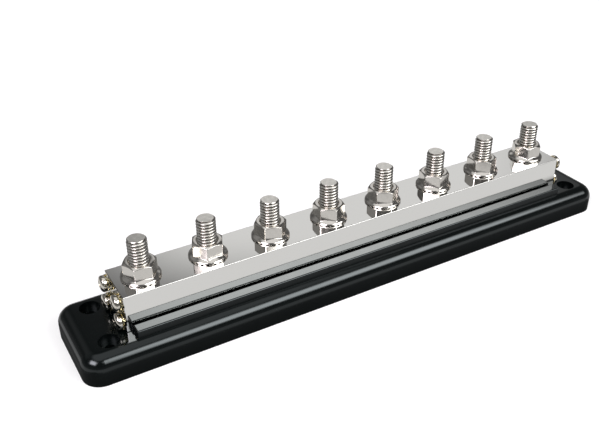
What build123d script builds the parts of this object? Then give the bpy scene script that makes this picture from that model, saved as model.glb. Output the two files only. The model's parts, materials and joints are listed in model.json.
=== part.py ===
from build123d import *
from math import cos, pi, radians, sin, sqrt, tan
import os

# Heavy bus bar: one solid metal bar on a moulded insulating base, with a row of studs and
# flange nuts along its top and four small screws on each end face.
# The origin is the middle of the base's underside, +X runs along the bar and +Z is up.
# All sizes are in millimetres.

# Studs, 3/8 inch, screwed into the bar from above
stud_count = 8
stud_spacing = 33.65
stud_radius = 9.525 / 2
stud_height = 20.5
stud_engagement = 15.0
stud_tip_chamfer = 0.75
stud_hole_spare = 1.0
thread_clearance = 0.05

# Plated metal bar
bar_end_margin = 13.2
bar_width = 25.4
bar_height = 19.05
bar_edge_radius = 0.4
bar_end_chamfer = 0.25

# Moulded base plate
base_end_margin = 24.3
base_height = 14.4
base_edge_radius = 6.9
base_corner_extra = 2.5

# Rails moulded along both long sides of the bar
rail_gap = 0.95
rail_width = 6.1
rail_height = 4.05
rail_edge_radius = 0.9
rail_end_radius = 0.5
rail_end_setback = 2.6
rail_root = 3.0
base_shelf = 6.15

# Ribbed hollow under the base
base_wall = 4.0
deck_thickness = 3.6
rib_thickness = 2.4
rib_count = 9

# Mounting holes in the base, each with a seat for the screw head
mount_end_distance = 9.3
mount_spacing_y = 28.0
mount_hole_radius = 2.7
mount_seat_radius = 5.0
mount_seat_depth = 4.4
mount_boss_wall = 2.4

# Flange nuts, 9/16 inch across the flats, and how far each one is turned
nut_sides = 6
nut_across_flats = 14.29
nut_height = 8.6
nut_face_margin = 0.4
nut_crown_angle = 30.0
nut_mouth_chamfer = 0.6
flange_overhang = 2.38
flange_rim = 1.1
flange_rise = 2.3
nut_turns = (53.5, 5.5, 45.0, 28.0, 32.0, 15.0, 26.0, 56.5)

# Pan head terminal screws on the bar's end faces, size 8
end_screw_side_margin = 4.2
end_screw_radius = 4.166 / 2
end_screw_bite = 8.6
end_screw_head_radius = 4.0
end_screw_head_height = 2.9
end_recess_span = 4.4
end_recess_depth = 1.7
end_screw_turns = (12.0, 57.0, 33.0, 80.0)
end_hole_spare = 2.4

# Toothed lock washers under the terminal screws, as high as their twisted teeth stand
washer_thickness = 1.6
washer_bore_clearance = 0.2
washer_ring_width = 1.15
washer_tip_radius = 4.2
washer_tooth_width = 1.7
washer_tooth_count = 8
washer_tooth_root = 0.2
washer_base_clearance = 0.125

# Pan head screws that hold the bar from under the base, size 10
fixing_count = 3
fixing_studs_apart = 3
fixing_radius = 4.826 / 2
fixing_bite = 6.5
fixing_head_radius = 4.7
fixing_head_height = 3.3
fixing_recess_span = 5.0
fixing_recess_depth = 1.9
fixing_turn = 20.0
fixing_seat_clearance = 0.6
fixing_seat_depth = 5.0
fixing_hole_clearance = 0.3
fixing_hole_spare = 1.2
fixing_boss_wall = 2.7

# Shape shared by the pan heads: straight rim, flat crown and the blades of the cross recess
head_rim_share = 0.5
head_crown_share = 0.7
recess_blade_width = 1.15

# Lengths, heights and places worked out from the sizes above
bar_length = stud_spacing * (stud_count - 1) + 2 * bar_end_margin
bar_top = base_height + bar_height
bar_middle = base_height + bar_height / 2
rail_inner = bar_width / 2 + rail_gap
rail_outer = rail_inner + rail_width
rail_top = base_height + rail_height
rail_length = bar_length - 2 * rail_end_setback
base_length = bar_length + 2 * base_end_margin
base_width = 2 * (rail_outer + base_shelf)
base_corner_radius = base_edge_radius + base_corner_extra
mount_spacing_x = bar_length + 2 * mount_end_distance
stud_stations = [(index - (stud_count - 1) / 2) * stud_spacing for index in range(stud_count)]
nut_bore_radius = stud_radius + thread_clearance
nut_corner_radius = nut_across_flats / 2 / cos(pi / nut_sides)
flange_radius = nut_across_flats / 2 + flange_overhang
washer_bore_radius = end_screw_radius + washer_bore_clearance
washer_ring_radius = washer_bore_radius + washer_ring_width
washer_tooth_length = sqrt(washer_tip_radius**2 - (washer_tooth_width / 2) ** 2) - washer_ring_radius
end_screw_length = washer_thickness + end_screw_bite
end_screw_spacing_y = bar_width - 2 * end_screw_side_margin
end_screw_spacing_z = bar_height - 2 * (washer_tip_radius + washer_base_clearance)
fixing_length = base_height - fixing_seat_depth + fixing_bite
fixing_spacing = fixing_studs_apart * stud_spacing
fixing_stations = [(index - (fixing_count - 1) / 2) * fixing_spacing for index in range(fixing_count)]
end_faces = {
    "left": Plane(origin=(-bar_length / 2, 0, bar_middle), x_dir=(0, -1, 0), z_dir=(-1, 0, 0)),
    "right": Plane(origin=(bar_length / 2, 0, bar_middle), x_dir=(0, 1, 0), z_dir=(1, 0, 0)),
}


def seat_at(face, across, up, rise, turn):
    """A plane parallel to a face, standing off it by rise and turned about its own normal."""
    direction = face.x_dir * cos(radians(turn)) + face.y_dir * sin(radians(turn))
    return Plane(face.from_local_coords((across, up, rise)), x_dir=direction, z_dir=face.z_dir)


def lengthwise(seat):
    """The plane through a seat's axis, where local x is the radius and local y the height."""
    return Plane(seat.origin, x_dir=seat.x_dir, z_dir=-seat.y_dir)


def pan_head_screw(seat, shank_radius, length, head_radius, head_height, recess_span, recess_depth):
    """A screw whose head stands on the seat and whose shank goes down through it."""
    rim = head_height * head_rim_share
    crown = head_radius * head_crown_share
    top = seat.offset(head_height)
    with BuildPart() as screw:
        with BuildSketch(lengthwise(seat)):
            with BuildLine():
                Polyline(
                    (0, head_height),
                    (0, -length),
                    (shank_radius, -length),
                    (shank_radius, 0),
                    (head_radius, 0),
                    (head_radius, rim),
                    (crown, head_height),
                    close=True,
                )
            make_face()
        revolve(axis=Axis(seat.origin, seat.z_dir))
        with BuildSketch(top):
            Rectangle(recess_span, recess_blade_width)
            Rectangle(recess_blade_width, recess_span)
        extrude(amount=-recess_depth, mode=Mode.SUBTRACT)
    return screw.part


def toothed_washer(seat):
    """An external tooth lock washer: a ring with square teeth standing out all round it."""
    with BuildPart() as washer:
        with BuildSketch(seat):
            Circle(washer_ring_radius)
            tooth_reach = washer_tooth_length + washer_tooth_root
            tooth_middle = washer_ring_radius - washer_tooth_root + tooth_reach / 2
            with PolarLocations(tooth_middle, washer_tooth_count):
                Rectangle(tooth_reach, washer_tooth_width)
            Circle(washer_bore_radius, mode=Mode.SUBTRACT)
        extrude(amount=washer_thickness)
    return washer.part


def flange_nut(seat):
    """A hexagon nut with a chamfered crown, standing on its own conical flange."""
    axis = Axis(seat.origin, seat.z_dir)
    face_radius = nut_across_flats / 2
    crown_radius = face_radius - nut_face_margin
    crown_drop = (nut_corner_radius - crown_radius) * tan(radians(nut_crown_angle))
    with BuildPart() as nut:
        with BuildSketch(seat):
            RegularPolygon(nut_corner_radius, nut_sides)
        extrude(amount=nut_height)
        with BuildSketch(lengthwise(seat)):
            with BuildLine():
                Polyline(
                    (0, 0),
                    (nut_corner_radius, 0),
                    (nut_corner_radius, nut_height - crown_drop),
                    (crown_radius, nut_height),
                    (0, nut_height),
                    close=True,
                )
            make_face()
        revolve(axis=axis, mode=Mode.INTERSECT)
        with BuildSketch(lengthwise(seat)):
            with BuildLine():
                Polyline(
                    (0, 0),
                    (flange_radius, 0),
                    (flange_radius, flange_rim),
                    (face_radius, flange_rise),
                    (0, flange_rise),
                    close=True,
                )
            make_face()
        revolve(axis=axis)
        with BuildSketch(lengthwise(seat)):
            with BuildLine():
                Polyline(
                    (0, 0),
                    (nut_bore_radius, 0),
                    (nut_bore_radius, nut_height - nut_mouth_chamfer),
                    (nut_bore_radius + nut_mouth_chamfer, nut_height),
                    (0, nut_height),
                    close=True,
                )
            make_face()
        revolve(axis=axis, mode=Mode.SUBTRACT)
    return nut.part


os.makedirs("parts", exist_ok=True)

# Base: rounded plate with a rail on each side of the bar, hollow and ribbed underneath
with BuildPart() as base:
    with BuildSketch(Plane.XY):
        RectangleRounded(base_length, base_width, base_corner_radius)
    extrude(amount=base_height)
    fillet(base.faces().sort_by(Axis.Z)[-1].edges(), base_edge_radius)

    for side in (-1, 1):
        with BuildSketch(Plane.YZ) as rail_section:
            with Locations((side * (rail_inner + rail_width / 2), rail_top)):
                Rectangle(rail_width, rail_height + rail_root, align=(Align.CENTER, Align.MAX))
            fillet(rail_section.vertices().group_by(Axis.Z)[-1], rail_edge_radius)
        extrude(amount=rail_length / 2, both=True)
    rail_ends = base.edges().filter_by(Axis.Y).group_by(Axis.Z)[-1]
    fillet(rail_ends, rail_end_radius)

    with BuildSketch(Plane.XY) as hollow:
        RectangleRounded(
            base_length - 2 * base_wall,
            base_width - 2 * base_wall,
            base_corner_radius - base_wall,
        )
        Rectangle(base_length, rib_thickness, mode=Mode.SUBTRACT)
        rib_spacing = (base_length - 2 * base_wall + rib_thickness) / (rib_count + 1)
        with GridLocations(rib_spacing, 0, rib_count, 1):
            Rectangle(rib_thickness, base_width, mode=Mode.SUBTRACT)
        with GridLocations(mount_spacing_x, mount_spacing_y, 2, 2):
            Circle(mount_seat_radius + mount_boss_wall, mode=Mode.SUBTRACT)
        with GridLocations(fixing_spacing, 0, fixing_count, 1):
            Circle(
                fixing_head_radius + fixing_seat_clearance + fixing_boss_wall,
                mode=Mode.SUBTRACT,
            )
    extrude(amount=base_height - deck_thickness, mode=Mode.SUBTRACT)

    with Locations(Plane.XY.offset(base_height)):
        with GridLocations(mount_spacing_x, mount_spacing_y, 2, 2):
            CounterBoreHole(mount_hole_radius, mount_seat_radius, mount_seat_depth)
    with BuildSketch(Plane.XY):
        with GridLocations(fixing_spacing, 0, fixing_count, 1):
            Circle(fixing_radius + fixing_hole_clearance)
    extrude(amount=base_height, mode=Mode.SUBTRACT)
    with BuildSketch(Plane.XY):
        with GridLocations(fixing_spacing, 0, fixing_count, 1):
            Circle(fixing_head_radius + fixing_seat_clearance)
    extrude(amount=fixing_seat_depth, mode=Mode.SUBTRACT)

base.part.label = "base"
export_step(base.part, "parts/base.step")

# Bar: solid metal with rounded edges, tapped for the studs, end screws and fixing screws
with BuildPart() as bar:
    with BuildSketch(Plane.XY.offset(base_height)):
        Rectangle(bar_length, bar_width)
    extrude(amount=bar_height)
    fillet(bar.edges().filter_by(Axis.X), bar_edge_radius)
    chamfer(bar.faces().filter_by(Plane.YZ).edges(), bar_end_chamfer)
    with BuildSketch(Plane.XY.offset(bar_top)):
        with GridLocations(stud_spacing, 0, stud_count, 1):
            Circle(stud_radius + thread_clearance)
    extrude(amount=-stud_engagement - stud_hole_spare, mode=Mode.SUBTRACT)
    for face in end_faces.values():
        with BuildSketch(face):
            with GridLocations(end_screw_spacing_y, end_screw_spacing_z, 2, 2):
                Circle(end_screw_radius + thread_clearance)
        extrude(amount=-end_screw_bite - end_hole_spare, mode=Mode.SUBTRACT)
    with BuildSketch(Plane.XY.offset(base_height)):
        with GridLocations(fixing_spacing, 0, fixing_count, 1):
            Circle(fixing_radius + thread_clearance)
    extrude(amount=fixing_bite + fixing_hole_spare, mode=Mode.SUBTRACT)

bar.part.label = "bar"
export_step(bar.part, "parts/bar.step")

# Studs and flange nuts, one of each at every station along the bar
for number, (station, turn) in enumerate(zip(stud_stations, nut_turns), start=1):
    with BuildPart() as stud:
        with BuildSketch(Plane.XY.offset(bar_top - stud_engagement)):
            with Locations((station, 0)):
                Circle(stud_radius)
        extrude(amount=stud_engagement + stud_height)
        chamfer(stud.faces().sort_by(Axis.Z)[-1].edges(), stud_tip_chamfer)
    stud.part.label = f"stud_{number}"
    export_step(stud.part, f"parts/stud_{number}.step")

    nut = flange_nut(seat_at(Plane.XY, station, 0, bar_top, turn))
    nut.label = f"nut_{number}"
    export_step(nut, f"parts/nut_{number}.step")

# Terminal screws and their lock washers, four on each end face
for end, face in end_faces.items():
    spots = [
        (across * end_screw_spacing_y / 2, up * end_screw_spacing_z / 2)
        for up in (1, -1)
        for across in (-1, 1)
    ]
    for number, ((across, up), turn) in enumerate(zip(spots, end_screw_turns), start=1):
        washer = toothed_washer(seat_at(face, across, up, 0, turn))
        washer.label = f"{end}_washer_{number}"
        export_step(washer, f"parts/{end}_washer_{number}.step")

        screw = pan_head_screw(
            seat_at(face, across, up, washer_thickness, turn),
            end_screw_radius,
            end_screw_length,
            end_screw_head_radius,
            end_screw_head_height,
            end_recess_span,
            end_recess_depth,
        )
        screw.label = f"{end}_screw_{number}"
        export_step(screw, f"parts/{end}_screw_{number}.step")

# Fixing screws, up through the base into the underside of the bar
for number, station in enumerate(fixing_stations, start=1):
    screw = pan_head_screw(
        seat_at(Plane.XY.rotated((180, 0, 0)), station, 0, -fixing_seat_depth, fixing_turn),
        fixing_radius,
        fixing_length,
        fixing_head_radius,
        fixing_head_height,
        fixing_recess_span,
        fixing_recess_depth,
    )
    screw.label = f"fixing_screw_{number}"
    export_step(screw, f"parts/fixing_screw_{number}.step")
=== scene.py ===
import json
import math

import bmesh
import bpy
import numpy as np
from mathutils import Matrix, Vector


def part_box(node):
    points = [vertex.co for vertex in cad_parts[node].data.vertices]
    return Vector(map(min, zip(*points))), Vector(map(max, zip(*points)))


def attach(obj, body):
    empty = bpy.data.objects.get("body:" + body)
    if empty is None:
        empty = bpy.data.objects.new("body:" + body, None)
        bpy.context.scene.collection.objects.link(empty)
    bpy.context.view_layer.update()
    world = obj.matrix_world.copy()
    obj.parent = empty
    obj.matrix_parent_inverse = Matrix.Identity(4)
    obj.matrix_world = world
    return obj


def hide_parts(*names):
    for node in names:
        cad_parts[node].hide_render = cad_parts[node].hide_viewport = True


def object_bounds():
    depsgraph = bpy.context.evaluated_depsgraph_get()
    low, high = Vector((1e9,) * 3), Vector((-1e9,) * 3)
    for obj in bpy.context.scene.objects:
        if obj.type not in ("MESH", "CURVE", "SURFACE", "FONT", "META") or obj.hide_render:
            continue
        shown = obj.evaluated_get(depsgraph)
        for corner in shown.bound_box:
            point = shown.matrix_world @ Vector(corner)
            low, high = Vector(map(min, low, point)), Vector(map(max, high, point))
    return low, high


bl_info = {
    "name": "Bus Bar",
    "version": (1, 0, 0),
    "blender": (4, 5, 0),
    "location": "View3D > Sidebar > Bus Bar",
    "description": "Threads, flange nuts, terminal screws, finishes and studio of a stud bus bar",
    "category": "Object",
}

MM = 0.001
STUD_COUNT = 8
SCREWS_PER_END = 4
# Columns of points round a turned shape
ROUND_COUNT = 96

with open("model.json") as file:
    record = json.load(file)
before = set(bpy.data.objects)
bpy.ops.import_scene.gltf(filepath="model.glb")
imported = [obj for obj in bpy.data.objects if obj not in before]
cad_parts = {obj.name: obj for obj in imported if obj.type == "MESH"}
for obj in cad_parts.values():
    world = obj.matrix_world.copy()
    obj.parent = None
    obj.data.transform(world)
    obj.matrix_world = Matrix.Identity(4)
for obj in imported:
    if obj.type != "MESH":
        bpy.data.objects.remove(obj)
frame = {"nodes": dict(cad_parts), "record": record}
CAD_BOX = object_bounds()


def hex_colour(code):
    """An sRGB hex code as linear red, green and blue."""
    shares = [int(code[place : place + 2], 16) / 255 for place in (1, 3, 5)]
    return tuple(
        share / 12.92 if share <= 0.04045 else ((share + 0.055) / 1.055) ** 2.4
        for share in shares
    )


def size_setting(name, description, millimetres):
    """A length that the user may change, given in millimetres and kept in metres."""
    return bpy.props.FloatProperty(
        name=name,
        description=description,
        default=millimetres * MM,
        min=0.0,
        precision=5,
        subtype="DISTANCE",
        unit="LENGTH",
    )


def colour_setting(name, description, code):
    """A colour that the user may change, given as an sRGB hex code."""
    return bpy.props.FloatVectorProperty(
        name=name,
        description=description,
        default=hex_colour(code),
        min=0.0,
        max=1.0,
        size=3,
        subtype="COLOR",
    )


def turn_setting(name, description, degrees):
    """A set of angles that the user may change, given in degrees."""
    return bpy.props.FloatVectorProperty(
        name=name,
        description=description,
        default=[math.radians(angle) for angle in degrees],
        size=len(degrees),
        unit="ROTATION",
    )


class BusBarSizes(bpy.types.PropertyGroup):
    """Sizes of the detail that the solids leave out."""

    stud_pitch: size_setting("Stud thread pitch", "Axial step of the stud's thread", 1.5875)
    stud_tip: size_setting("Stud tip", "Chamfer at the free end of a stud", 0.75)
    across_flats: size_setting("Nut across flats", "Distance between opposite nut faces", 14.29)
    face_margin: size_setting("Nut crown margin", "How far the crown stays inside the faces", 0.4)
    crown_angle: bpy.props.FloatProperty(
        name="Nut crown angle",
        description="Slope of the chamfer on the nut's corners",
        default=math.radians(30),
        subtype="ANGLE",
        unit="ROTATION",
    )
    flange_rim: size_setting("Flange rim", "Height of the flange at its edge", 1.1)
    flange_rise: size_setting("Flange rise", "Height at which the flange meets the faces", 2.3)
    serrations: bpy.props.IntProperty(
        name="Serrations",
        description="Number of locking teeth under the flange",
        default=20,
        min=6,
        max=60,
    )
    serration_depth: size_setting("Serration depth", "Height of one locking tooth", 0.5)
    screw_pitch: size_setting("Screw thread pitch", "Axial step of the screw's thread", 0.79375)
    screw_length: size_setting("Screw length", "Shank of a terminal screw below its head", 10.2)
    head_height: size_setting("Screw head height", "Height of the domed head", 2.9)
    recess_span: size_setting("Recess span", "Width of the cross recess at the top", 4.4)
    recess_depth: size_setting("Recess depth", "Depth of the cross recess", 1.7)
    washer_teeth: bpy.props.IntProperty(
        name="Washer teeth",
        description="Number of outside teeth on a lock washer",
        default=8,
        min=4,
        max=16,
    )
    nut_turns: turn_setting(
        "Nut turns",
        "How far each nut is turned",
        (53.5, 5.5, 45.0, 28.0, 32.0, 15.0, 26.0, 56.5),
    )
    screw_turns: turn_setting(
        "Screw turns",
        "How far each terminal screw is turned",
        (12, 57, 33, 80),
    )


class BusBarColours(bpy.types.PropertyGroup):
    """Colours of the finishes."""

    base: colour_setting("Base", "Black moulded plastic", "#030606")
    bar: colour_setting("Bar", "Bright tin plating", "#F0EFEC")
    stud: colour_setting("Studs", "Rolled stainless steel", "#F3F0EA")
    # Painted shade: a darker colour in the roots of the studs' threads
    root_shade: colour_setting("Thread film", "Dark film in the roots of the studs' threads", "#665C52")
    nut: colour_setting("Nuts", "Tumbled stainless steel", "#E0DCD6")
    screw: colour_setting("Screws", "Nickel plated steel", "#DDD8CE")
    washer: colour_setting("Washers", "Yellow passivated zinc", "#C9BF9B")
    fixing_screw: colour_setting("Fixing screws", "Zinc plated steel", "#B9BCC0")
    floor: colour_setting("Floor", "Paper under the part, before the light through it", "#AAAAAA")


def add_node(tree, kind, settings=None, inputs=None):
    """Adds a node; an input is a value, or the output socket of another node."""
    node = tree.nodes.new(kind)
    for name, value in (settings or {}).items():
        setattr(node, name, value)
    for name, value in (inputs or {}).items():
        if isinstance(value, bpy.types.NodeSocket):
            tree.links.new(value, node.inputs[name])
        else:
            node.inputs[name].default_value = value
    return node


def new_material(name):
    """An empty node material and its output node."""
    material = bpy.data.materials.new(name)
    material.use_nodes = True
    material.node_tree.nodes.clear()
    return material, add_node(material.node_tree, "ShaderNodeOutputMaterial")


def waves_per_metre(millimetres):
    """Noise scale whose features are about this size."""
    return 1 / (millimetres * MM)


def levelness(tree):
    """How level a surface lies: 0 on an upright wall, 1 on a face that looks up or down."""
    where = add_node(tree, "ShaderNodeTexCoord")
    facing = add_node(tree, "ShaderNodeSeparateXYZ", inputs={"Vector": where.outputs["Normal"]})
    lean = add_node(tree, "ShaderNodeMath", {"operation": "ABSOLUTE"}, {0: facing.outputs["Z"]})
    return lean.outputs["Value"]


def moulded_polycarbonate(colour):
    """Glass filled polycarbonate from a polished mould: deep black under a clear, wavy gloss."""
    material, output = new_material("moulded_polycarbonate")
    tree = material.node_tree
    where = add_node(tree, "ShaderNodeTexCoord")
    # Sink marks over the ribs pull the gloss about by a few hundredths of a degree
    sink = add_node(
        tree,
        "ShaderNodeTexNoise",
        inputs={"Vector": where.outputs["Object"], "Scale": waves_per_metre(14), "Detail": 1.0},
    )
    waviness = add_node(
        tree,
        "ShaderNodeBump",
        inputs={"Strength": 0.25, "Distance": 0.05 * MM, "Height": sink.outputs["Fac"]},
    )
    # Handling leaves a faint haze in patches
    haze = add_node(
        tree,
        "ShaderNodeTexNoise",
        inputs={"Vector": where.outputs["Object"], "Scale": waves_per_metre(9), "Detail": 6.0},
    )
    polished = add_node(
        tree,
        "ShaderNodeMapRange",
        inputs={
            "Value": haze.outputs["Fac"],
            "From Min": 0.35,
            "From Max": 0.7,
            "To Min": 0.12,
            "To Max": 0.16,
        },
    )
    # The mould was polished on the top and the rounded edges, its upright walls left satin
    satin = add_node(
        tree,
        "ShaderNodeMapRange",
        {"interpolation_type": "SMOOTHSTEP"},
        {
            "Value": levelness(tree),
            "From Min": 0.02,
            "From Max": 0.2,
            "To Min": 0.34,
            "To Max": 0.0,
        },
    )
    roughness = add_node(
        tree,
        "ShaderNodeMath",
        {"operation": "MAXIMUM"},
        {0: satin.outputs["Result"], 1: polished.outputs["Result"]},
    )
    shader = add_node(
        tree,
        "ShaderNodeBsdfPrincipled",
        inputs={
            "Base Color": (*colour, 1),
            "Roughness": roughness.outputs["Value"],
            "IOR": 1.5,
            "Specular Tint": (0.9, 0.98, 1.0, 1),
            "Normal": waviness.outputs["Normal"],
        },
    )
    tree.links.new(shader.outputs["BSDF"], output.inputs["Surface"])
    return material


def bright_tin_plating(colour):
    """Bright tin plate on drawn copper: an even, pale mirror with a trace of the drawing lines."""
    material, output = new_material("bright_tin_plating")
    tree = material.node_tree
    where = add_node(tree, "ShaderNodeTexCoord")
    # Drawing lines run along the bar, a third of a millimetre apart and very long
    stretch = add_node(
        tree,
        "ShaderNodeMapping",
        inputs={"Vector": where.outputs["Object"], "Scale": (0.01, 1.0, 1.0)},
    )
    lines = add_node(
        tree,
        "ShaderNodeTexNoise",
        inputs={"Vector": stretch.outputs["Vector"], "Scale": waves_per_metre(0.35), "Detail": 2.0},
    )
    roughness = add_node(
        tree,
        "ShaderNodeMapRange",
        inputs={
            "Value": lines.outputs["Fac"],
            "From Min": 0.3,
            "From Max": 0.7,
            "To Min": 0.03,
            "To Max": 0.07,
        },
    )
    relief = add_node(
        tree,
        "ShaderNodeBump",
        inputs={"Strength": 0.05, "Distance": 0.002 * MM, "Height": lines.outputs["Fac"]},
    )
    # The edges get a painted shade, darker than the faces, that tones down their highlight:
    # an edge is what leans between an upright side and the level top
    level = levelness(tree)
    leaning = []
    for start, end, before, after in ((0.1, 0.35, 0.0, 1.0), (0.85, 0.98, 1.0, 0.0)):
        leaning.append(
            add_node(
                tree,
                "ShaderNodeMapRange",
                {"interpolation_type": "SMOOTHSTEP"},
                {
                    "Value": level,
                    "From Min": start,
                    "From Max": end,
                    "To Min": before,
                    "To Max": after,
                },
            )
        )
    edge = add_node(
        tree,
        "ShaderNodeMath",
        {"operation": "MULTIPLY"},
        {0: leaning[0].outputs["Result"], 1: leaning[1].outputs["Result"]},
    )
    # Painted shade: the plating's colour darkened for the edges
    painted_edge_shade = tuple(share * 0.6 for share in colour)
    plating = add_node(
        tree,
        "ShaderNodeMixRGB",
        inputs={"Fac": edge.outputs["Value"], "Color1": (*colour, 1), "Color2": (*painted_edge_shade, 1)},
    )
    shader = add_node(
        tree,
        "ShaderNodeBsdfPrincipled",
        inputs={
            "Base Color": plating.outputs["Color"],
            "Metallic": 1.0,
            "Roughness": roughness.outputs["Result"],
            "Normal": relief.outputs["Normal"],
        },
    )
    tree.links.new(shader.outputs["BSDF"], output.inputs["Surface"])
    return material


def worked_metal(name, colour, smooth, rough, grain, relief_strength):
    """A metal whose polish and relief vary in patches of the grain size, in millimetres."""
    material, output = new_material(name)
    tree = material.node_tree
    where = add_node(tree, "ShaderNodeTexCoord")
    patches = add_node(
        tree,
        "ShaderNodeTexNoise",
        inputs={"Vector": where.outputs["Object"], "Scale": waves_per_metre(grain), "Detail": 4.0},
    )
    roughness = add_node(
        tree,
        "ShaderNodeMapRange",
        inputs={
            "Value": patches.outputs["Fac"],
            "From Min": 0.35,
            "From Max": 0.65,
            "To Min": smooth,
            "To Max": rough,
        },
    )
    relief = add_node(
        tree,
        "ShaderNodeBump",
        inputs={
            "Strength": relief_strength,
            "Distance": 0.01 * MM,
            "Height": patches.outputs["Fac"],
        },
    )
    shader = add_node(
        tree,
        "ShaderNodeBsdfPrincipled",
        inputs={
            "Base Color": (*colour, 1),
            "Metallic": 1.0,
            "Roughness": roughness.outputs["Result"],
            "Normal": relief.outputs["Normal"],
        },
    )
    tree.links.new(shader.outputs["BSDF"], output.inputs["Surface"])
    return material


def paint_shade_in_roots(material, colour, root_shade, radii, heights):
    """Darkens the colour in the roots of an upright thread: painted shade where the grooves fall
    dark.

    It clears from the first radius to the second, and from the first height to the second;
    all four are in metres.
    """
    tree = material.node_tree
    shader = next(node for node in tree.nodes if node.type == "BSDF_PRINCIPLED")
    where = add_node(tree, "ShaderNodeTexCoord")
    across = add_node(
        tree,
        "ShaderNodeVectorMath",
        {"operation": "MULTIPLY"},
        {0: where.outputs["Object"], 1: (1, 1, 0)},
    )
    radius = add_node(
        tree, "ShaderNodeVectorMath", {"operation": "LENGTH"}, {0: across.outputs["Vector"]}
    )
    axes = add_node(tree, "ShaderNodeSeparateXYZ", inputs={"Vector": where.outputs["Object"]})
    shade_clears = []
    for reach, (start, end) in ((radius.outputs["Value"], radii), (axes.outputs["Z"], heights)):
        shade_clears.append(
            add_node(
                tree,
                "ShaderNodeMapRange",
                {"interpolation_type": "SMOOTHSTEP"},
                {
                    "Value": reach,
                    "From Min": start,
                    "From Max": end,
                    "To Min": 0.0,
                    "To Max": 1.0,
                },
            )
        )
    unshaded = add_node(
        tree,
        "ShaderNodeMath",
        {"operation": "MAXIMUM"},
        {0: shade_clears[0].outputs["Result"], 1: shade_clears[1].outputs["Result"]},
    )
    # Painted shade: the thread's colour darkens towards its roots
    root_shaded = add_node(
        tree,
        "ShaderNodeMixRGB",
        inputs={"Fac": unshaded.outputs["Value"], "Color1": (*root_shade, 1), "Color2": (*colour, 1)},
    )
    tree.links.new(root_shaded.outputs["Color"], shader.inputs["Base Color"])


def finish(part, material):
    """Gives every slot of a part one material."""
    part.data.materials.clear()
    part.data.materials.append(material)


def soften(rows, steps=3):
    """A polyline with short curves for corners; a row is a corner and how far its curve reaches."""
    rows = np.asarray(rows, float)
    corners, reaches = rows[:, :2], rows[1:, 2]
    # Less than half of a side each, so that the curves at its two ends never meet
    most = 0.48
    outline = [corners[0]]
    for before, corner, after, reach in zip(corners, corners[1:], corners[2:], reaches):
        back, on = before - corner, after - corner
        start = corner + back * min(most, reach / max(np.linalg.norm(back), 1e-9))
        end = corner + on * min(most, reach / max(np.linalg.norm(on), 1e-9))
        for step in range(steps + 1):
            t = step / steps
            outline.append((1 - t) ** 2 * start + 2 * t * (1 - t) * corner + t * t * end)
    outline.append(corners[-1])
    return np.array(outline)


def skin(name, columns, row_shift=0, sharp_angle=32.0):
    """A mesh over columns of points, in millimetres, that go once round; open ends are filled."""
    columns = np.asarray(columns, float)
    count, rows = columns.shape[:2]
    shell = bmesh.new()
    points = [[shell.verts.new(point * MM) for point in column] for column in columns]
    for column in range(count):
        here, there = points[column], points[(column + 1) % count]
        shift = row_shift if column == count - 1 else 0
        for row in range(rows - 1):
            corners = (
                here[row],
                there[min(row + shift, rows - 1)],
                there[min(row + 1 + shift, rows - 1)],
                here[row + 1],
            )
            if len(set(corners)) > 2:
                shell.faces.new(dict.fromkeys(corners))
    bmesh.ops.remove_doubles(shell, verts=shell.verts, dist=1e-4 * MM)
    open_edges = [edge for edge in shell.edges if edge.is_boundary]
    if open_edges:
        bmesh.ops.edgeloop_fill(shell, edges=open_edges)
    return close_mesh(name, shell, sharp_angle)


def close_mesh(name, shell, sharp_angle):
    """Turns a bmesh into a mesh with outward normals, smooth except across its sharp edges."""
    bmesh.ops.recalc_face_normals(shell, faces=shell.faces)
    mesh = bpy.data.meshes.new(name)
    shell.to_mesh(mesh)
    shell.free()
    mesh.shade_smooth()
    mesh.set_sharp_from_angle(angle=math.radians(sharp_angle))
    return mesh


def lathe(name, outline, count, sharp_angle=32.0):
    """A mesh made by turning an outline of radius and height about the vertical axis."""
    angles = np.arange(count) * 2 * math.pi / count
    columns = [
        [(radius * math.cos(angle), radius * math.sin(angle), height) for radius, height in outline]
        for angle in angles
    ]
    return skin(name, columns, sharp_angle=sharp_angle)


# A 60 degree thread over one pitch, as shares of the pitch and of the thread depth.
# Rolling leaves the crests and roots slightly rounded.
THREAD_DEPTH = 0.6134
THREAD_FORM = (
    (0.0, 0.0),
    (0.05, 0.01),
    (0.09, 0.06),
    (0.25, 0.5),
    (0.39, 0.93),
    (0.45, 0.99),
    (0.5, 1.0),
    (0.55, 0.99),
    (0.61, 0.93),
    (0.75, 0.5),
    (0.91, 0.06),
    (0.95, 0.01),
)


def threaded_rod(name, radius, pitch, low, high, foot, tip, count=ROUND_COUNT):
    """A rod with a rolled thread from low to high, chamfered by foot and tip; in millimetres."""
    shares = np.array([share for share, _ in THREAD_FORM] + [1.0])
    depths = np.array([depth for _, depth in THREAD_FORM] + [0.0])
    turns = math.ceil((high - low) / pitch) + 2
    steps = np.concatenate([shares[:-1] + turn for turn in range(turns)])
    columns = []
    for column in range(count):
        angle = 2 * math.pi * column / count
        rise = pitch * column / count
        heights = np.clip(low - pitch + pitch * steps + rise, low, high)
        phase = ((heights - low - rise) / pitch) % 1.0
        reach = radius - THREAD_DEPTH * pitch * np.interp(phase, shares, depths)
        reach = np.minimum(reach, radius - foot + (heights - low))
        reach = np.minimum(reach, radius - tip + (high - heights))
        columns.append(
            np.stack([reach * math.cos(angle), reach * math.sin(angle), heights], axis=1)
        )
    return skin(name, columns, row_shift=len(THREAD_FORM), sharp_angle=36.0)


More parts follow.
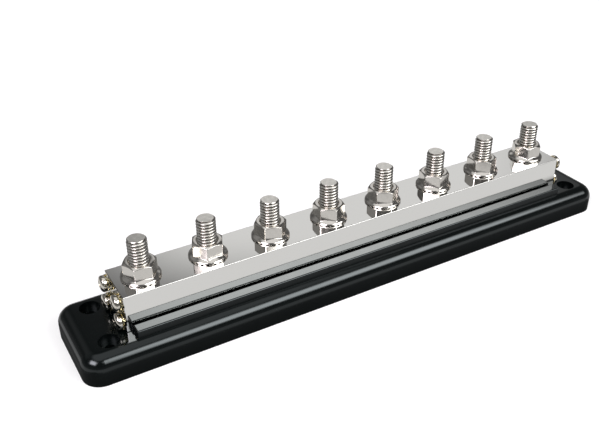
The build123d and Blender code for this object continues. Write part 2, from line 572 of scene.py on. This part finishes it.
def hexagon_reach(angle, flat, corner_radius):
    """Distance from the axis to a hexagon with rounded corners, one of them at angle 0."""
    sector = math.pi / 3
    off_corner = (angle + sector / 2) % sector - sector / 2
    arc_centre = (flat - corner_radius) / math.cos(math.radians(30))
    arc_half = math.atan2(
        corner_radius * math.sin(math.radians(30)),
        arc_centre + corner_radius * math.cos(math.radians(30)),
    )
    if abs(off_corner) < arc_half:
        across = arc_centre * math.sin(off_corner)
        return arc_centre * math.cos(off_corner) + math.sqrt(corner_radius**2 - across**2)
    return flat / math.cos(math.radians(30) - abs(off_corner))


def make_flange_nut_mesh(sizes, flange, height, bore):
    """The nut with softened edges and a ring of locking teeth under its flange."""
    flat = sizes.across_flats / MM / 2
    rim = sizes.flange_rim / MM
    rise = sizes.flange_rise / MM
    margin = sizes.face_margin / MM
    depth = sizes.serration_depth / MM
    slope = (rise - rim) / (flange - flat)
    crown = flat - margin
    fall = math.tan(sizes.crown_angle)
    corner_radius = 0.55
    mouth = 0.6
    # The teeth start outside a plain ring round the bore, over a short ramp
    seat_start = bore + 0.6 * (flat - bore)
    ramp = 0.3
    # A tooth's long flank leads as the nut tightens, and its short one digs in as it backs off
    short_flank = 0.35
    columns_per_tooth = 12
    count = sizes.serrations * columns_per_tooth
    columns = []
    for column in range(count):
        angle = 2 * math.pi * column / count
        reach = hexagon_reach(angle, flat, corner_radius)
        along = (angle * sizes.serrations / (2 * math.pi)) % 1.0
        if along < short_flank:
            lift = depth * (along / short_flank)
        else:
            lift = depth * ((1 - along) / (1 - short_flank))
        outline = soften(
            [
                (bore, depth, 0.0),
                (seat_start, depth, 0.1),
                (seat_start + ramp, lift, 0.1),
                (flange, lift, 0.12),
                (flange, rim, 1.0),
                (reach, rim + (flange - reach) * slope, 0.3),
                (reach, height - (reach - crown) * fall, 0.16),
                (crown, height, 0.3),
                (bore + mouth, height, 0.1),
                (bore, height - mouth, 0.1),
                (bore, depth, 0.0),
            ]
        )
        columns.append(
            [(radius * math.cos(angle), radius * math.sin(angle), z) for radius, z in outline]
        )
    return skin("flange_nut", columns, sharp_angle=40.0)


def make_washer_mesh(sizes, thickness):
    """An external tooth lock washer: a flat ring whose teeth are each twisted a little."""
    bore = 2.28
    ring = 3.43
    outer = 4.2
    half_band = 0.25
    edge = 0.08
    middle = thickness / 2
    outline = soften(
        [
            (bore, middle, 0.0),
            (bore, middle - half_band, edge),
            (ring, middle - half_band, edge),
            (ring, middle + half_band, edge),
            (bore, middle + half_band, edge),
            (bore, middle, 0.0),
        ],
        steps=2,
    )
    washer = bmesh.new()
    washer.from_mesh(lathe("washer_ring", outline, ROUND_COUNT))
    # A tooth starts inside the ring, and grows thinner towards its twisted tip
    root = ring - 0.25
    half_width = 0.85
    thinning = 0.25
    twist_at_tip = math.radians(44)
    sections = 5
    for tooth in range(sizes.washer_teeth):
        around = Matrix.Rotation(2 * math.pi * tooth / sizes.washer_teeth, 3, "Z")
        rings = []
        for section in range(sections):
            share = section / (sections - 1)
            radius = root + share * (math.sqrt(outer**2 - half_width**2) - root)
            twist = Matrix.Rotation(twist_at_tip * share, 3, "X")
            thick = half_band * (1 - thinning * share)
            rings.append(
                [
                    washer.verts.new(
                        (around @ (Vector((radius, 0, middle)) + twist @ Vector((0, y, z)))) * MM
                    )
                    for y, z in (
                        (-half_width, -thick),
                        (half_width, -thick),
                        (half_width, thick),
                        (-half_width, thick),
                    )
                ]
            )
        for near, far in zip(rings, rings[1:]):
            for corner in range(4):
                after = (corner + 1) % 4
                washer.faces.new((near[corner], near[after], far[after], far[corner]))
        washer.faces.new(reversed(rings[0]))
        washer.faces.new(rings[-1])
    return close_mesh("lock_washer", washer, sharp_angle=30.0)


def make_recess_cutter(span, depth, head_height):
    """A cross whose four wings narrow towards their foot."""
    half, wing = span / 2, 0.55
    above_head = 0.4
    scale_above, scale_at_foot = 1.12, 0.42
    cross = []
    for quarter in range(4):
        turn = Matrix.Rotation(quarter * math.pi / 2, 2)
        cross += [turn @ Vector(corner) for corner in ((half, -wing), (half, wing), (wing, wing))]
    rings = []
    cutter = bmesh.new()
    for scale, height in (
        (scale_above, head_height + above_head),
        (scale_at_foot, head_height - depth),
    ):
        rings.append(
            [cutter.verts.new(Vector((x * scale, y * scale, height)) * MM) for x, y in cross]
        )
    for corner in range(len(cross)):
        after = (corner + 1) % len(cross)
        cutter.faces.new((rings[0][corner], rings[0][after], rings[1][after], rings[1][corner]))
    cutter.faces.new(rings[0])
    cutter.faces.new(rings[1])
    return close_mesh("recess_cutter", cutter, sharp_angle=30.0)


def cut(mesh, cutter, name):
    """The mesh with the cutter's shape taken out of it."""
    body = bpy.data.objects.new(name, mesh)
    tool = bpy.data.objects.new(name + "_tool", cutter)
    for each in (body, tool):
        bpy.context.scene.collection.objects.link(each)
    difference = body.modifiers.new("recess", "BOOLEAN")
    difference.operation = "DIFFERENCE"
    difference.solver = "EXACT"
    difference.object = tool
    bpy.context.view_layer.update()
    depsgraph = bpy.context.evaluated_depsgraph_get()
    result = bpy.data.meshes.new_from_object(body.evaluated_get(depsgraph))
    for each in (body, tool):
        bpy.data.objects.remove(each)
    result.name = name
    return result


def make_pan_screw_mesh(sizes, head_radius):
    """A domed pan head with a cross recess, on a rolled thread that hangs below height 0."""
    height = sizes.head_height / MM
    thread_radius = 4.166 / 2
    # The head's side is upright below its dome
    side = 0.42 * height
    dome = [
        (head_radius * math.cos(t), side + (height - side) * math.sin(t))
        for t in np.linspace(0, math.pi / 2, 12)
    ]
    # The head presses a little into the washer, and its lower edge is rounded
    pressed = 0.02
    underside = [
        (0, -pressed),
        (head_radius - 0.15, -pressed),
        (head_radius - 0.05, 0.05),
        (head_radius, 0.3),
    ]
    head = lathe("pan_head", underside + dome, ROUND_COUNT, sharp_angle=40.0)
    cutter = make_recess_cutter(sizes.recess_span / MM, sizes.recess_depth / MM, height)
    head = cut(head, cutter, "pan_head_cut")
    pitch = sizes.screw_pitch / MM
    shank = threaded_rod(
        "screw_shank", thread_radius, pitch, -sizes.screw_length / MM, 0.0, pitch, 0.0, count=40
    )
    both = bmesh.new()
    both.from_mesh(head)
    both.from_mesh(shank)
    return close_mesh("terminal_screw", both, sharp_angle=40.0)


def body_of_node(node):
    """The CAD body that a node belongs to."""
    for body, nodes in frame["record"]["behaviour"]["bodies"].items():
        if node in nodes:
            return body
    raise RuntimeError(f"no body holds {node}")


def place(node, detail, mesh, matrix, slot):
    """Puts a detailed piece where a CAD node is, riding on the same body."""
    piece = bpy.data.objects.new(f"{node}_{detail}", mesh)
    bpy.context.scene.collection.objects.link(piece)
    piece.matrix_world = matrix
    body = body_of_node(node)
    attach(piece, body)
    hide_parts(node)


def upright_at(low, high, turn):
    """A place at the foot of a box, upright and turned about its axis."""
    return Matrix.Translation(((low.x + high.x) / 2, 0, low.z)) @ Matrix.Rotation(turn, 4, "Z")


def outward_at(x, low, high, side, turn):
    """A place at x in the middle of a box, facing out of a bar end and turned about its axis."""
    spot = Vector((x, (low.y + high.y) / 2, (low.z + high.z) / 2))
    facing = Matrix(((0, 0, side), (side, 0, 0), (0, 1, 0)))
    return Matrix.Translation(spot) @ facing.to_4x4() @ Matrix.Rotation(turn, 4, "Z")


def end_nodes(kind):
    """The nodes of a kind on both bar ends, each with its number from 0 and its outward side."""
    for end, side in (("left", -1), ("right", 1)):
        for number in range(SCREWS_PER_END):
            yield f"{end}_{kind}_{number + 1}", number, side


class BUSBAR_OT_finish_base(bpy.types.Operator):
    """Gives the base its moulded finish."""

    bl_idname = "busbar.finish_base"
    bl_label = "Finish the base"

    def execute(self, context):
        finish(frame["nodes"]["base"], moulded_polycarbonate(context.scene.bus_bar_colours.base))
        return {"FINISHED"}


class BUSBAR_OT_finish_bar(bpy.types.Operator):
    """Gives the bar its plating."""

    bl_idname = "busbar.finish_bar"
    bl_label = "Finish the bar"

    def execute(self, context):
        finish(frame["nodes"]["bar"], bright_tin_plating(context.scene.bus_bar_colours.bar))
        return {"FINISHED"}


class BUSBAR_OT_finish_fixing_screws(bpy.types.Operator):
    """Gives the screws under the base their finish."""

    bl_idname = "busbar.finish_fixing_screws"
    bl_label = "Finish the fixing screws"

    def execute(self, context):
        # Zinc plated carbon steel: a grey satin, left as it came from the barrel
        material = worked_metal(
            "zinc_plated_steel",
            context.scene.bus_bar_colours.fixing_screw,
            smooth=0.25,
            rough=0.4,
            grain=0.8,
            relief_strength=0.1,
        )
        for name, node in frame["nodes"].items():
            if name.startswith("fixing_screw"):
                finish(node, material)
        return {"FINISHED"}


class BUSBAR_OT_make_studs(bpy.types.Operator):
    """Makes the threaded studs."""

    bl_idname = "busbar.make_studs"
    bl_label = "Make the studs"

    def execute(self, context):
        sizes = context.scene.bus_bar_sizes
        colours = context.scene.bus_bar_colours
        # Rolled stainless steel: bright crests, a soft sheen on the flanks
        material = worked_metal(
            "rolled_stainless_steel",
            colours.stud,
            smooth=0.18,
            rough=0.26,
            grain=2.0,
            relief_strength=0.0,
        )
        low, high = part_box("stud_1")
        radius = (high.x - low.x) / 2
        length = high.z - low.z
        # The painted shade in the roots fades out over two thirds of the thread's depth, and is
        # gone at the tip
        paint_shade_in_roots(
            material,
            colours.stud,
            colours.root_shade,
            (
                radius - THREAD_DEPTH * sizes.stud_pitch,
                radius - 0.35 * THREAD_DEPTH * sizes.stud_pitch,
            ),
            (length - 0.4 * MM, length - 0.1 * MM),
        )
        mesh = threaded_rod(
            "stud_thread",
            radius / MM,
            sizes.stud_pitch / MM,
            0.0,
            length / MM,
            foot=0.0,
            tip=sizes.stud_tip / MM,
        )
        mesh.materials.append(material)
        for number in range(STUD_COUNT):
            node = f"stud_{number + 1}"
            matrix = upright_at(*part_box(node), sizes.nut_turns[number] * 2)
            place(node, "threaded", mesh, matrix, "stud_metal")
        return {"FINISHED"}


class BUSBAR_OT_make_nuts(bpy.types.Operator):
    """Makes the serrated flange nuts."""

    bl_idname = "busbar.make_nuts"
    bl_label = "Make the nuts"

    def execute(self, context):
        sizes = context.scene.bus_bar_sizes
        # Tumbled stainless steel: bright faces that still mirror their surroundings
        material = worked_metal(
            "tumbled_stainless_steel",
            context.scene.bus_bar_colours.nut,
            smooth=0.1,
            rough=0.17,
            grain=1.5,
            relief_strength=0.05,
        )
        low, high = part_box("nut_1")
        stud_low, stud_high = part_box("stud_1")
        clearance = 0.05
        mesh = make_flange_nut_mesh(
            sizes,
            (high.x - low.x) / 2 / MM,
            (high.z - low.z) / MM,
            (stud_high.x - stud_low.x) / 2 / MM + clearance,
        )
        mesh.materials.append(material)
        for number in range(STUD_COUNT):
            node = f"nut_{number + 1}"
            matrix = upright_at(*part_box(node), sizes.nut_turns[number])
            place(node, "serrated", mesh, matrix, "nut_metal")
        return {"FINISHED"}


class BUSBAR_OT_make_washers(bpy.types.Operator):
    """Makes the toothed lock washers under the terminal screws."""

    bl_idname = "busbar.make_washers"
    bl_label = "Make the lock washers"

    def execute(self, context):
        sizes = context.scene.bus_bar_sizes
        # Zinc with a yellow passivation: a pale straw tint over a satin sheen
        material = worked_metal(
            "yellow_passivated_zinc",
            context.scene.bus_bar_colours.washer,
            smooth=0.18,
            rough=0.3,
            grain=0.6,
            relief_strength=0.1,
        )
        low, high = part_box("left_washer_1")
        mesh = make_washer_mesh(sizes, (high.x - low.x) / MM)
        mesh.materials.append(material)
        for node, number, side in end_nodes("washer"):
            low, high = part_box(node)
            inner = high.x if side < 0 else low.x
            matrix = outward_at(inner, low, high, side, sizes.screw_turns[number])
            place(node, "twisted", mesh, matrix, "screw_metal")
        return {"FINISHED"}


class BUSBAR_OT_make_terminal_screws(bpy.types.Operator):
    """Makes the pan head terminal screws on both ends of the bar."""

    bl_idname = "busbar.make_terminal_screws"
    bl_label = "Make the terminal screws"

    def execute(self, context):
        sizes = context.scene.bus_bar_sizes
        # Nickel plated steel: a warm, bright mirror on the domed heads
        material = worked_metal(
            "nickel_plated_steel",
            context.scene.bus_bar_colours.screw,
            smooth=0.05,
            rough=0.1,
            grain=1.2,
            relief_strength=0.1,
        )
        low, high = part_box("left_screw_1")
        mesh = make_pan_screw_mesh(sizes, (high.z - low.z) / 2 / MM)
        mesh.materials.append(material)
        for node, number, side in end_nodes("screw"):
            low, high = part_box(node)
            outer = low.x if side < 0 else high.x
            under_head = outer - side * sizes.head_height
            matrix = outward_at(under_head, low, high, side, sizes.screw_turns[number])
            place(node, "domed", mesh, matrix, "screw_metal")
        return {"FINISHED"}


def towards(azimuth, elevation):
    """The direction at an azimuth turned right from the front, and an elevation, in degrees."""
    turn, lift = math.radians(azimuth), math.radians(elevation)
    return Vector(
        (math.sin(turn) * math.cos(lift), -math.cos(turn) * math.cos(lift), math.sin(lift))
    )


# Where each softbox or pale card stands round the part, in degrees; its width and height,
# in metres; how bright its middle is; and its tint
LAMPS = {
    "front_softbox": (33, 42, 3.4, 1.95, 7.5, (1.0, 1.0, 1.0)),
    "left_softbox": (-66, 40, 2.4, 1.7, 10.6, (1.0, 0.94, 1.0)),
    "back_card": (147, 29, 2.9, 1.25, 0.62, (1.0, 1.0, 1.0)),
    "left_back_card": (-142, 40, 3.2, 2.2, 0.15, (1.0, 1.0, 1.0)),
}
LAMP_DISTANCE = 3.0


def add_softbox(name, azimuth, elevation, width, height, radiance, tint):
    """A softbox that faces the part, brightest in its middle and fading out to its edges."""
    lamp = bpy.data.lights.new(name, "AREA")
    lamp.shape = "RECTANGLE"
    lamp.size = width
    lamp.size_y = height
    lamp.energy = radiance * math.pi * width * height
    lamp.color = tint
    lamp.use_nodes = True
    tree = lamp.node_tree
    tree.nodes.clear()
    output = add_node(tree, "ShaderNodeOutputLight")
    where = add_node(tree, "ShaderNodeNewGeometry")
    axes = add_node(
        tree, "ShaderNodeSeparateXYZ", inputs={"Vector": where.outputs["Parametric"]}
    )
    fades = []
    for axis in ("X", "Y"):
        off_middle = add_node(
            tree, "ShaderNodeMath", {"operation": "SUBTRACT"}, {0: axes.outputs[axis], 1: 0.5}
        )
        distance_off = add_node(
            tree, "ShaderNodeMath", {"operation": "ABSOLUTE"}, {0: off_middle.outputs["Value"]}
        )
        fades.append(
            add_node(
                tree,
                "ShaderNodeMapRange",
                {"interpolation_type": "SMOOTHSTEP"},
                {
                    "Value": distance_off.outputs["Value"],
                    "From Min": 0.18,
                    "From Max": 0.5,
                    "To Min": 1.0,
                    "To Max": 0.0,
                },
            )
        )
    cloth = add_node(
        tree,
        "ShaderNodeMath",
        {"operation": "MULTIPLY"},
        {0: fades[0].outputs["Result"], 1: fades[1].outputs["Result"]},
    )
    glow = add_node(
        tree, "ShaderNodeEmission", inputs={"Strength": cloth.outputs["Value"]}
    )
    tree.links.new(glow.outputs["Emission"], output.inputs["Surface"])
    light = bpy.data.objects.new(name, lamp)
    bpy.context.scene.collection.objects.link(light)
    light.location = towards(azimuth, elevation) * LAMP_DISTANCE
    light.rotation_mode = "QUATERNION"
    light.rotation_quaternion = light.location.to_track_quat("Z", "Y")
    light.visible_camera = False


def studio_world():
    """A dim studio with a pale horizon and ceiling; the camera sees plain white instead."""
    world = bpy.data.worlds.new("studio")
    world.use_nodes = True
    tree = world.node_tree
    tree.nodes.clear()
    output = add_node(tree, "ShaderNodeOutputWorld")
    direction = add_node(tree, "ShaderNodeTexCoord")
    axes = add_node(
        tree, "ShaderNodeSeparateXYZ", inputs={"Vector": direction.outputs["Generated"]}
    )
    # A pale horizon fades upwards, and the ceiling is lit: from and to a height in degrees
    lit = []
    for start, end, before, after in ((0, 20, 0.2, 0.09), (56, 70, 0.0, 0.8)):
        lit.append(
            add_node(
                tree,
                "ShaderNodeMapRange",
                {"interpolation_type": "SMOOTHSTEP"},
                {
                    "Value": axes.outputs["Z"],
                    "From Min": math.sin(math.radians(start)),
                    "From Max": math.sin(math.radians(end)),
                    "To Min": before,
                    "To Max": after,
                },
            )
        )
    glow = add_node(
        tree,
        "ShaderNodeMath",
        {"operation": "ADD"},
        {0: lit[0].outputs["Result"], 1: lit[1].outputs["Result"]},
    )
    surroundings = add_node(
        tree,
        "ShaderNodeBackground",
        inputs={"Color": (1, 1, 1, 1), "Strength": glow.outputs["Value"]},
    )
    backdrop = add_node(
        tree, "ShaderNodeBackground", inputs={"Color": (1, 1, 1, 1), "Strength": 1.0}
    )
    path = add_node(tree, "ShaderNodeLightPath")
    mix = add_node(
        tree,
        "ShaderNodeMixShader",
        inputs={
            0: path.outputs["Is Camera Ray"],
            1: surroundings.outputs["Background"],
            2: backdrop.outputs["Background"],
        },
    )
    tree.links.new(mix.outputs["Shader"], output.inputs["Surface"])
    return world


def white_sweep(colour):
    """Matt white background paper, lit through from below: even, soft, without gloss."""
    material, output = new_material("white_background_paper")
    tree = material.node_tree
    paper = add_node(
        tree, "ShaderNodeBsdfDiffuse", inputs={"Color": (*colour, 1), "Roughness": 0.5}
    )
    # The camera sees the light through the paper, and the part's shadow on it
    path = add_node(tree, "ShaderNodeLightPath")
    light_through = add_node(
        tree,
        "ShaderNodeMath",
        {"operation": "MULTIPLY"},
        {0: path.outputs["Is Camera Ray"], 1: 0.62},
    )
    light = add_node(
        tree,
        "ShaderNodeEmission",
        inputs={"Color": (1, 1, 1, 1), "Strength": light_through.outputs["Value"]},
    )
    lit_paper = add_node(
        tree, "ShaderNodeAddShader", inputs={0: paper.outputs[0], 1: light.outputs[0]}
    )
    # Metal and gloss mirror the same pale paper: in the part's shade close to its foot,
    # and dim where the light no longer reaches it
    where = add_node(tree, "ShaderNodeTexCoord")
    axes = add_node(tree, "ShaderNodeSeparateXYZ", inputs={"Vector": where.outputs["Object"]})
    reaches = []
    for axis, half_length in (("X", CAD_BOX[1][0]), ("Y", CAD_BOX[1][1])):
        away = add_node(
            tree, "ShaderNodeMath", {"operation": "ABSOLUTE"}, {0: axes.outputs[axis]}
        )
        reaches.append(
            add_node(
                tree,
                "ShaderNodeMath",
                {"operation": "SUBTRACT"},
                {0: away.outputs["Value"], 1: half_length},
            )
        )
    from_foot = add_node(
        tree,
        "ShaderNodeMath",
        {"operation": "MAXIMUM"},
        {0: reaches[0].outputs["Value"], 1: reaches[1].outputs["Value"]},
    )
    strengths = []
    for start, end, before, after in ((9, 18, 0.1, 0.7), (70, 140, 1.0, 0.2)):
        strengths.append(
            add_node(
                tree,
                "ShaderNodeMapRange",
                {"interpolation_type": "SMOOTHSTEP"},
                {
                    "Value": from_foot.outputs["Value"],
                    "From Min": start * MM,
                    "From Max": end * MM,
                    "To Min": before,
                    "To Max": after,
                },
            )
        )
    dimmed = add_node(
        tree,
        "ShaderNodeMath",
        {"operation": "MULTIPLY"},
        {0: strengths[0].outputs["Result"], 1: strengths[1].outputs["Result"]},
    )
    mirrored_paper = add_node(
        tree,
        "ShaderNodeEmission",
        inputs={"Color": (1, 1, 1, 1), "Strength": dimmed.outputs["Value"]},
    )
    mirrored = add_node(
        tree,
        "ShaderNodeMath",
        {"operation": "ADD"},
        {0: path.outputs["Is Glossy Ray"], 1: path.outputs["Is Transmission Ray"]},
    )
    seen = add_node(
        tree,
        "ShaderNodeMixShader",
        inputs={
            0: mirrored.outputs["Value"],
            1: lit_paper.outputs["Shader"],
            2: mirrored_paper.outputs["Emission"],
        },
    )
    tree.links.new(seen.outputs["Shader"], output.inputs["Surface"])
    return material


# The photograph's viewpoint: place, aim and lens, found by fitting the part's edges
CAMERA_PLACE = (-203.051, -295.939, 246.436)
CAMERA_YAW = 0.520
CAMERA_PITCH = 0.546
CAMERA_ROLL = -0.007
CAMERA_FOCAL_PIXELS = 799.128
FRAME_WIDTH_PIXELS = 600
SENSOR_WIDTH = 36.0


def add_camera():
    """The camera at the photograph's viewing angle."""
    view = bpy.data.cameras.new("camera")
    view.sensor_width = SENSOR_WIDTH
    view.lens = CAMERA_FOCAL_PIXELS * SENSOR_WIDTH / FRAME_WIDTH_PIXELS
    view.clip_start = 0.01
    view.clip_end = 50.0
    camera = bpy.data.objects.new("camera", view)
    bpy.context.scene.collection.objects.link(camera)
    ahead = Vector(
        (
            math.sin(CAMERA_YAW) * math.cos(CAMERA_PITCH),
            math.cos(CAMERA_YAW) * math.cos(CAMERA_PITCH),
            -math.sin(CAMERA_PITCH),
        )
    )
    level = Vector((math.cos(CAMERA_YAW), -math.sin(CAMERA_YAW), 0))
    upright = level.cross(ahead)
    right = math.cos(CAMERA_ROLL) * level + math.sin(CAMERA_ROLL) * upright
    up = math.cos(CAMERA_ROLL) * upright - math.sin(CAMERA_ROLL) * level
    turn = Matrix((right, up, -ahead)).transposed().to_4x4()
    camera.matrix_world = Matrix.Translation(Vector(CAMERA_PLACE) * MM) @ turn
    bpy.context.scene.camera = camera


class BUSBAR_OT_make_stage(bpy.types.Operator):
    """Makes the floor, the studio light and the camera."""

    bl_idname = "busbar.make_stage"
    bl_label = "Make the stage"

    def execute(self, context):
        # The floor reaches 6 m each way, and lies a hair under the part's foot
        half = 6.0
        gap = 0.02 * MM
        sweep = bpy.data.meshes.new("floor")
        corners = [(-half, -half, 0), (half, -half, 0), (half, half, 0), (-half, half, 0)]
        sweep.from_pydata(corners, [], [(0, 1, 2, 3)])
        sweep.materials.append(white_sweep(context.scene.bus_bar_colours.floor))
        floor = bpy.data.objects.new("floor", sweep)
        context.scene.collection.objects.link(floor)
        floor.location.z = -gap
        context.scene.world = studio_world()
        for name, row in LAMPS.items():
            add_softbox(name, *row)
        add_camera()
        context.scene.view_settings.view_transform = "Standard"
        return {"FINISHED"}


OPERATORS = (
    BUSBAR_OT_finish_base,
    BUSBAR_OT_finish_bar,
    BUSBAR_OT_finish_fixing_screws,
    BUSBAR_OT_make_studs,
    BUSBAR_OT_make_nuts,
    BUSBAR_OT_make_washers,
    BUSBAR_OT_make_terminal_screws,
    BUSBAR_OT_make_stage,
)


class BUSBAR_PT_panel(bpy.types.Panel):
    """Lists the steps that dress the bus bar."""

    bl_idname = "BUSBAR_PT_panel"
    bl_label = "Bus Bar"
    bl_space_type = "VIEW_3D"
    bl_region_type = "UI"
    bl_category = "Bus Bar"

    def draw(self, context):
        for operator in OPERATORS:
            self.layout.operator(operator.bl_idname)
        for group in (context.scene.bus_bar_sizes, context.scene.bus_bar_colours):
            column = self.layout.column(align=True)
            for name in group.__annotations__:
                column.prop(group, name)


CLASSES = (BusBarSizes, BusBarColours, *OPERATORS, BUSBAR_PT_panel)


def register():
    """Registers the classes and hangs both groups of settings on the scene."""
    for each in CLASSES:
        bpy.utils.register_class(each)
    bpy.types.Scene.bus_bar_sizes = bpy.props.PointerProperty(type=BusBarSizes)
    bpy.types.Scene.bus_bar_colours = bpy.props.PointerProperty(type=BusBarColours)


def unregister():
    """Takes the settings and the classes away again."""
    del bpy.types.Scene.bus_bar_colours
    del bpy.types.Scene.bus_bar_sizes
    for each in reversed(CLASSES):
        bpy.utils.unregister_class(each)


def main():
    """Registers the add-on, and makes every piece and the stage."""
    register()
    bpy.ops.busbar.finish_base()
    bpy.ops.busbar.finish_bar()
    bpy.ops.busbar.finish_fixing_screws()
    bpy.ops.busbar.make_studs()
    bpy.ops.busbar.make_nuts()
    bpy.ops.busbar.make_washers()
    bpy.ops.busbar.make_terminal_screws()
    bpy.ops.busbar.make_stage()


if __name__ == "__main__":
    main()
